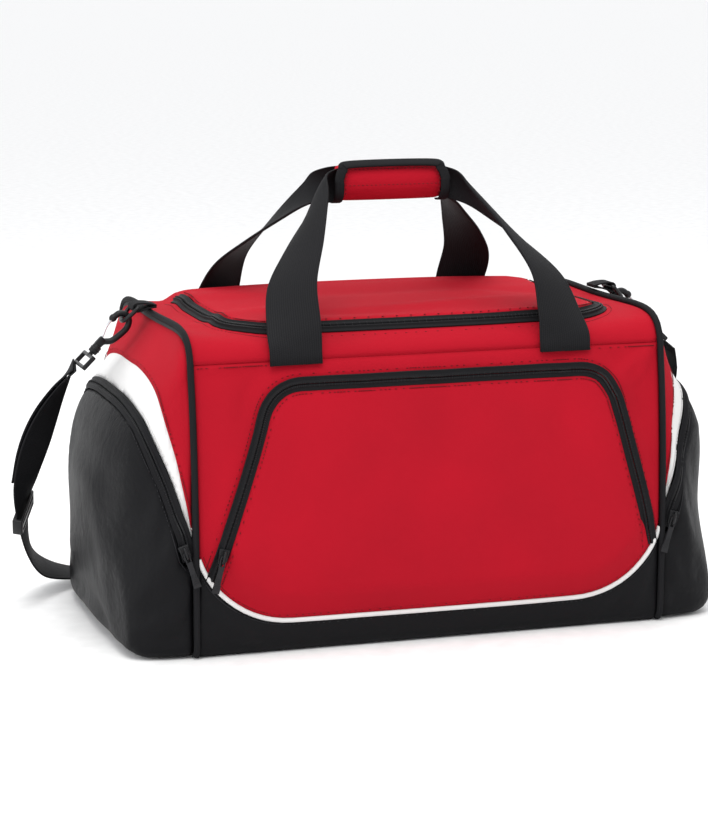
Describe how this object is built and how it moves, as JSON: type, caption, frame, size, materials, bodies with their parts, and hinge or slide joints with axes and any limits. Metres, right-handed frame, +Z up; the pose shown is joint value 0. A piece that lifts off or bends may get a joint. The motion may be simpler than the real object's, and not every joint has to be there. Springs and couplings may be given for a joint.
{
  "type": "hockey equipment bag",
  "caption": "Soft sports holdall with a zipped lid, front pocket, domed end pockets, padded carry handles and a clip-on shoulder strap.",
  "frame": {"origin": "centre of the bag's flat bottom, midway between the two end pipings", "axes": "+X along the bag, the front pocket faces -Y, +Z up"},
  "size_m": [0.6939, 0.417, 0.439],
  "materials": {
    "red_cloth": "matt woven polyester, coated inside",
    "black_cloth": "black nylon with a slight sheen",
    "white_trim": "smooth white coated cloth",
    "lining": "plain black lining",
    "board": "stiff polypropylene sheet",
    "zip_tape": "woven tape with a moulded coil",
    "webbing": "ribbed polypropylene webbing",
    "plastic": "black acetal, satin",
    "steel": "bright wire",
    "rubber": "soft moulded rubber"
  },
  "bodies": {
    "bag": {"front_panel": "red_cloth", "back_panel": "red_cloth", "top_panel": "red_cloth", "front_pocket_panel": "red_cloth", "left_end_upper_panel": "red_cloth", "right_end_upper_panel": "red_cloth", "base_panel": "black_cloth", "left_pocket_panel": "black_cloth", "right_pocket_panel": "black_cloth", "left_end_piping": "black_cloth", "right_end_piping": "black_cloth", "front_trim": "white_trim", "back_trim": "white_trim", "left_end_band": "white_trim", "right_end_band": "white_trim", "left_end_wall": "lining", "right_end_wall": "lining", "base_board": "board", "main_zip_outer_tape": "zip_tape", "front_pocket_zip": "zip_tape", "left_pocket_zip": "zip_tape", "right_pocket_zip": "zip_tape", "shoulder_strap": "webbing", "strap_return": "webbing", "left_ring_tab": "webbing", "right_ring_tab": "webbing", "left_ring": "plastic", "right_ring": "plastic", "left_hook": "plastic", "right_hook": "plastic", "left_strap_eye": "plastic", "right_strap_eye": "plastic", "strap_adjuster": "plastic"},
    "lid": {"lid_panel": "red_cloth", "main_zip_lid_tape": "zip_tape"},
    "front_handle": {"front_handle_webbing": "webbing", "front_grip_pad": "red_cloth"},
    "rear_handle": {"rear_handle_webbing": "webbing", "rear_grip_pad": "red_cloth"},
    "front_pocket_slider": {"front_pocket_slider": "plastic"},
    "front_pocket_pull": {"front_pocket_pull": "rubber"},
    "left_pocket_slider": {"left_pocket_slider": "plastic"},
    "left_pocket_pull": {"left_pocket_pull": "rubber"},
    "right_pocket_slider": {"right_pocket_slider": "plastic"},
    "right_pocket_pull": {"right_pocket_pull": "rubber"},
    "main_zip_slider": {"main_zip_slider": "plastic"},
    "main_zip_pull": {"main_zip_pull": "rubber"},
    "left_gate": {"left_hook_gate": "steel"},
    "right_gate": {"right_hook_gate": "steel"}
  },
  "joints": [
    {"name": "front_handle_swing", "type": "hinge", "parent": "bag", "child": "front_handle", "pos_m": [0, -0.1575, 0.276], "axis": [1, 0, 0], "range_deg": [0, 170]},
    {"name": "rear_handle_swing", "type": "hinge", "parent": "bag", "child": "rear_handle", "pos_m": [0, 0.1575, 0.276], "axis": [-1, 0, 0], "range_deg": [0, 170]},
    {"name": "lid_open", "type": "hinge", "parent": "bag", "child": "lid", "pos_m": [0, 0.0923, 0.2992], "axis": [-1, 0, 0], "range_deg": [0, 102]},
    {"name": "front_pocket_slide", "type": "slide", "parent": "bag", "child": "front_pocket_slider", "axis": [0.2553, 0, 0.9669], "range_m": [0, 0.105]},
    {"name": "front_pocket_pull_swing", "type": "hinge", "parent": "front_pocket_slider", "child": "front_pocket_pull", "pos_m": [-0.2046, -0.179, 0.098], "axis": [-0.9669, 0, 0.2553], "range_deg": [0, 150]},
    {"name": "left_pocket_slide", "type": "slide", "parent": "bag", "child": "left_pocket_slider", "axis": [-0.3048, 0, 0.9524], "range_m": [0, 0.055]},
    {"name": "left_pocket_pull_swing", "type": "hinge", "parent": "left_pocket_slider", "child": "left_pocket_pull", "pos_m": [-0.2395, -0.1691, 0.102], "axis": [-0.9524, 0, -0.3048], "range_deg": [0, 150]},
    {"name": "right_pocket_slide", "type": "slide", "parent": "bag", "child": "right_pocket_slider", "axis": [0.3048, 0, 0.9524], "range_m": [0, 0.055]},
    {"name": "right_pocket_pull_swing", "type": "hinge", "parent": "right_pocket_slider", "child": "right_pocket_pull", "pos_m": [0.2395, -0.1691, 0.102], "axis": [-0.9524, 0, 0.3048], "range_deg": [0, 150]},
    {"name": "main_zip_slide", "type": "slide", "parent": "lid", "child": "main_zip_slider", "axis": [0, -1, 0], "range_m": [0, 0.11]},
    {"name": "main_zip_pull_swing", "type": "hinge", "parent": "main_zip_slider", "child": "main_zip_pull", "pos_m": [0.197, 0.074, 0.3061], "axis": [-1, 0, 0], "range_deg": [0, 95]},
    {"name": "left_gate_swing", "type": "hinge", "parent": "bag", "child": "left_gate", "pos_m": [-0.27616, 0.014, 0.2823], "axis": [0, 1, 0], "range_deg": [0, 25], "stiffness_Nm_per_rad": 0.02},
    {"name": "right_gate_swing", "type": "hinge", "parent": "bag", "child": "right_gate", "pos_m": [0.27616, 0.014, 0.2823], "axis": [0, -1, 0], "range_deg": [0, 25], "stiffness_Nm_per_rad": 0.02}
  ],
  "couplings": [
    {"joint": "rear_handle_swing", "follows": "front_handle_swing", "ratio": 1},
    {"joint": "lid_open", "follows": "front_handle_swing", "ratio": 0.6}
  ]
}
